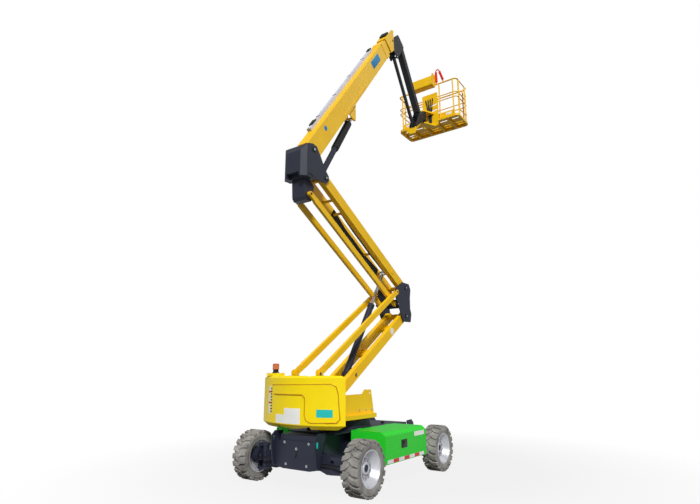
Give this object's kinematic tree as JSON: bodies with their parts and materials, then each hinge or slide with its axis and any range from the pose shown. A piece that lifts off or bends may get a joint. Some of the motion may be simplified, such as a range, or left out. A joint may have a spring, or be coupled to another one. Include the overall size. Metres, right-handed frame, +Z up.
{
  "type": "articulating boom lift",
  "caption": "Battery powered lifting platform on a wheeled chassis with a slewing turntable, a folding two-stage riser, a telescopic boom, a jib and a railed work platform",
  "frame": {"origin": "on the ground, in the middle of the overall box in plan, 1.41 m in front of the point midway between the axles", "axes": "+X the way the boom reaches over the drive axle, +Y the left side, +Z up"},
  "size_m": [6.3288, 2.49, 10.2578],
  "materials": {
    "lift_yellow": "satin",
    "hood_yellow": "satin",
    "slate": "satin",
    "green": "satin",
    "black": "satin",
    "steel": "satin",
    "chrome": "polished",
    "cast_weight": "matte",
    "battery": "matte",
    "tyre": "matte",
    "bellows": "matte",
    "amber": "polished",
    "tray_grey": "satin",
    "red_foam": "matte"
  },
  "bodies": {
    "chassis": {"chassis_frame": "slate", "steer_axle": "slate", "drive_axle": "slate", "steer_cylinder": "black", "end_plate_steer": "slate", "end_plate_drive": "slate", "battery_tray_left": "green", "battery_tray_right": "green", "battery_pack_left": "battery", "battery_pack_right": "battery", "slew_ring": "black"},
    "knuckle_left": {"knuckle_left": "slate"},
    "knuckle_right": {"knuckle_right": "slate"},
    "track_rod": {"track_rod": "black"},
    "wheel_steer_left": {"tyre_steer_left": "tyre", "rim_steer_left": "steel"},
    "wheel_steer_right": {"tyre_steer_right": "tyre", "rim_steer_right": "steel"},
    "wheel_drive_left": {"tyre_drive_left": "tyre", "rim_drive_left": "steel"},
    "wheel_drive_right": {"tyre_drive_right": "tyre", "rim_drive_right": "steel"},
    "lid_left": {"battery_lid_left": "green"},
    "lid_right": {"battery_lid_right": "green"},
    "turntable": {"turntable_frame": "lift_yellow", "turntable_sides": "lift_yellow", "riser_pin": "lift_yellow", "tail_hood": "hood_yellow", "counterweight": "cast_weight", "beacon_mount": "hood_yellow", "beacon_base": "black", "beacon_lens": "amber", "ground_control_box": "black"},
    "lower_arm": {"lower_arm": "lift_yellow"},
    "lower_ties": {"lower_ties": "lift_yellow"},
    "mid_knuckle": {"mid_knuckle": "slate"},
    "upper_arm": {"upper_arm": "lift_yellow"},
    "upper_ties": {"upper_ties": "lift_yellow"},
    "top_knuckle": {"top_knuckle": "slate"},
    "riser_barrel": {"riser_cylinder_barrel": "slate"},
    "riser_rod": {"riser_cylinder_rod": "chrome"},
    "boom": {"boom_base": "lift_yellow", "hose_tray": "tray_grey"},
    "boom_mid": {"boom_mid": "lift_yellow"},
    "boom_tip": {"boom_tip": "lift_yellow"},
    "lift_barrel": {"lift_cylinder_barrel": "slate"},
    "lift_rod": {"lift_cylinder_rod": "chrome", "lift_cylinder_sleeve": "bellows"},
    "jib_head": {"jib_head": "slate"},
    "jib": {"jib": "black"},
    "jib_link": {"jib_link": "black"},
    "rotator": {"rotator": "black"},
    "platform": {"platform_mount": "lift_yellow", "platform_floor": "lift_yellow", "platform_rails": "lift_yellow", "control_console": "lift_yellow", "guard_tube": "red_foam"},
    "gate": {"platform_gate": "lift_yellow"}
  },
  "joints": [
    {"name": "slew", "type": "hinge", "parent": "chassis", "child": "turntable", "pos_m": [-1.61108, 0, 0.97], "axis": [0, 0, 1], "continuous": true},
    {"name": "steer_left", "type": "hinge", "parent": "chassis", "child": "knuckle_left", "pos_m": [-2.66108, 0.86, 0.4], "axis": [0, 0, 1], "range_deg": [-32, 32]},
    {"name": "steer_right", "type": "hinge", "parent": "chassis", "child": "knuckle_right", "pos_m": [-2.66108, -0.86, 0.4], "axis": [0, 0, 1], "range_deg": [-32, 32]},
    {"name": "track_rod_slide", "type": "slide", "parent": "chassis", "child": "track_rod", "axis": [0, 1, 0], "range_m": [-0.0798, 0.0798]},
    {"name": "wheel_steer_left", "type": "hinge", "parent": "knuckle_left", "child": "wheel_steer_left", "pos_m": [-2.66108, 1.104, 0.4], "axis": [0, 1, 0], "continuous": true},
    {"name": "wheel_steer_right", "type": "hinge", "parent": "knuckle_right", "child": "wheel_steer_right", "pos_m": [-2.66108, -1.104, 0.4], "axis": [0, 1, 0], "continuous": true},
    {"name": "wheel_drive_left", "type": "hinge", "parent": "chassis", "child": "wheel_drive_left", "pos_m": [-0.16108, 1.104, 0.4], "axis": [0, 1, 0], "continuous": true},
    {"name": "wheel_drive_right", "type": "hinge", "parent": "chassis", "child": "wheel_drive_right", "pos_m": [-0.16108, -1.104, 0.4], "axis": [0, 1, 0], "continuous": true},
    {"name": "lid_left", "type": "hinge", "parent": "chassis", "child": "lid_left", "pos_m": [-1.41108, 0.49, 0.834], "axis": [1, 0, 0], "range_deg": [0, 60]},
    {"name": "lid_right", "type": "hinge", "parent": "chassis", "child": "lid_right", "pos_m": [-1.41108, -0.49, 0.834], "axis": [-1, 0, 0], "range_deg": [0, 60]},
    {"name": "riser_lift", "type": "hinge", "parent": "turntable", "child": "lower_arm", "pos_m": [-2.28108, 0, 1.25], "axis": [0, -1, 0], "range_deg": [-29.5, 32]},
    {"name": "lower_tie", "type": "hinge", "parent": "turntable", "child": "lower_ties", "pos_m": [-2.67108, 0, 1.73], "axis": [0, -1, 0], "range_deg": [-29.5, 32]},
    {"name": "mid_knuckle_level", "type": "hinge", "parent": "lower_arm", "child": "mid_knuckle", "pos_m": [0.3188, 0, 2.93838], "axis": [0, -1, 0], "range_deg": [-32, 29.5]},
    {"name": "upper_arm", "type": "hinge", "parent": "mid_knuckle", "child": "upper_arm", "pos_m": [0.3188, 0, 3.55838], "axis": [0, -1, 0], "range_deg": [-29.45, 27.15]},
    {"name": "upper_tie", "type": "hinge", "parent": "mid_knuckle", "child": "upper_ties", "pos_m": [-0.0212, 0, 3.16838], "axis": [0, -1, 0], "range_deg": [-29.45, 27.15]},
    {"name": "top_knuckle_level", "type": "hinge", "parent": "upper_arm", "child": "top_knuckle", "pos_m": [-2.54439, 0, 5.15856], "axis": [0, -1, 0], "range_deg": [-27.15, 29.45]},
    {"name": "riser_cylinder_swing", "type": "hinge", "parent": "lower_arm", "child": "riser_barrel", "pos_m": [-1.56569, 0, 1.71458], "axis": [0, -1, 0], "range_deg": [-3.85, 3.55]},
    {"name": "riser_cylinder_stroke", "type": "slide", "parent": "riser_barrel", "child": "riser_rod", "axis": [0.5468, 0, 0.8373], "range_m": [-0.6492, 0.7042]},
    {"name": "boom_lift", "type": "hinge", "parent": "top_knuckle", "child": "boom", "pos_m": [-2.89439, 0, 5.57856], "axis": [0, -1, 0], "range_deg": [-54.4, 18.6]},
    {"name": "lift_cylinder_swing", "type": "hinge", "parent": "top_knuckle", "child": "lift_barrel", "pos_m": [-2.43239, 0, 5.25056], "axis": [0, -1, 0], "range_deg": [-59.31, 20.28]},
    {"name": "lift_cylinder_stroke", "type": "slide", "parent": "lift_barrel", "child": "lift_rod", "axis": [0.5171, 0, 0.8559], "range_m": [-0.4752, 0.1628]},
    {"name": "telescope", "type": "slide", "parent": "boom", "child": "boom_mid", "axis": [0.5821, 0, 0.8131], "range_m": [0, 2.3]},
    {"name": "telescope_tip", "type": "slide", "parent": "boom_mid", "child": "boom_tip", "axis": [0.5821, 0, 0.8131], "range_m": [0, 2.3]},
    {"name": "platform_level", "type": "hinge", "parent": "boom_tip", "child": "jib_head", "pos_m": [0.27338, 0, 9.86582], "axis": [0, -1, 0], "range_deg": [-18.6, 54.4]},
    {"name": "jib_lift", "type": "hinge", "parent": "jib_head", "child": "jib", "pos_m": [0.83098, 0, 10.05302], "axis": [0, -1, 0], "range_deg": [-12.5, 102.5]},
    {"name": "jib_link", "type": "hinge", "parent": "jib_head", "child": "jib_link", "pos_m": [0.53898, 0, 9.56702], "axis": [0, -1, 0], "range_deg": [-12.5, 102.5]},
    {"name": "jib_level", "type": "hinge", "parent": "jib", "child": "rotator", "pos_m": [1.78039, 0, 8.56274], "axis": [0, -1, 0], "range_deg": [-102.5, 12.5]},
    {"name": "platform_turn", "type": "hinge", "parent": "rotator", "child": "platform", "pos_m": [2.13039, 0, 8.66274], "axis": [0, 0, 1], "range_deg": [-80, 80]},
    {"name": "gate", "type": "hinge", "parent": "platform", "child": "gate", "pos_m": [3.02439, -0.895, 9.16274], "axis": [0, 0, -1], "range_deg": [0, 90]}
  ],
  "couplings": [
    {"joint": "steer_right", "follows": "steer_left", "ratio": 1},
    {"joint": "track_rod_slide", "follows": "steer_left", "m_per_rad": -0.142},
    {"joint": "lower_tie", "follows": "riser_lift", "ratio": 1},
    {"joint": "mid_knuckle_level", "follows": "riser_lift", "ratio": -1},
    {"joint": "upper_arm", "follows": "riser_lift", "ratio": -0.92},
    {"joint": "upper_tie", "follows": "riser_lift", "ratio": -0.92},
    {"joint": "top_knuckle_level", "follows": "riser_lift", "ratio": 0.92},
    {"joint": "riser_cylinder_swing", "follows": "riser_lift", "ratio": -0.12},
    {"joint": "riser_cylinder_stroke", "follows": "riser_lift", "m_per_rad": 1.26},
    {"joint": "lift_cylinder_swing", "follows": "boom_lift", "ratio": 1.09},
    {"joint": "lift_cylinder_stroke", "follows": "boom_lift", "m_per_rad": 0.5},
    {"joint": "telescope_tip", "follows": "telescope", "ratio": 1},
    {"joint": "platform_level", "follows": "boom_lift", "ratio": -1},
    {"joint": "jib_link", "follows": "jib_lift", "ratio": 1},
    {"joint": "jib_level", "follows": "jib_lift", "ratio": -1}
  ]
}
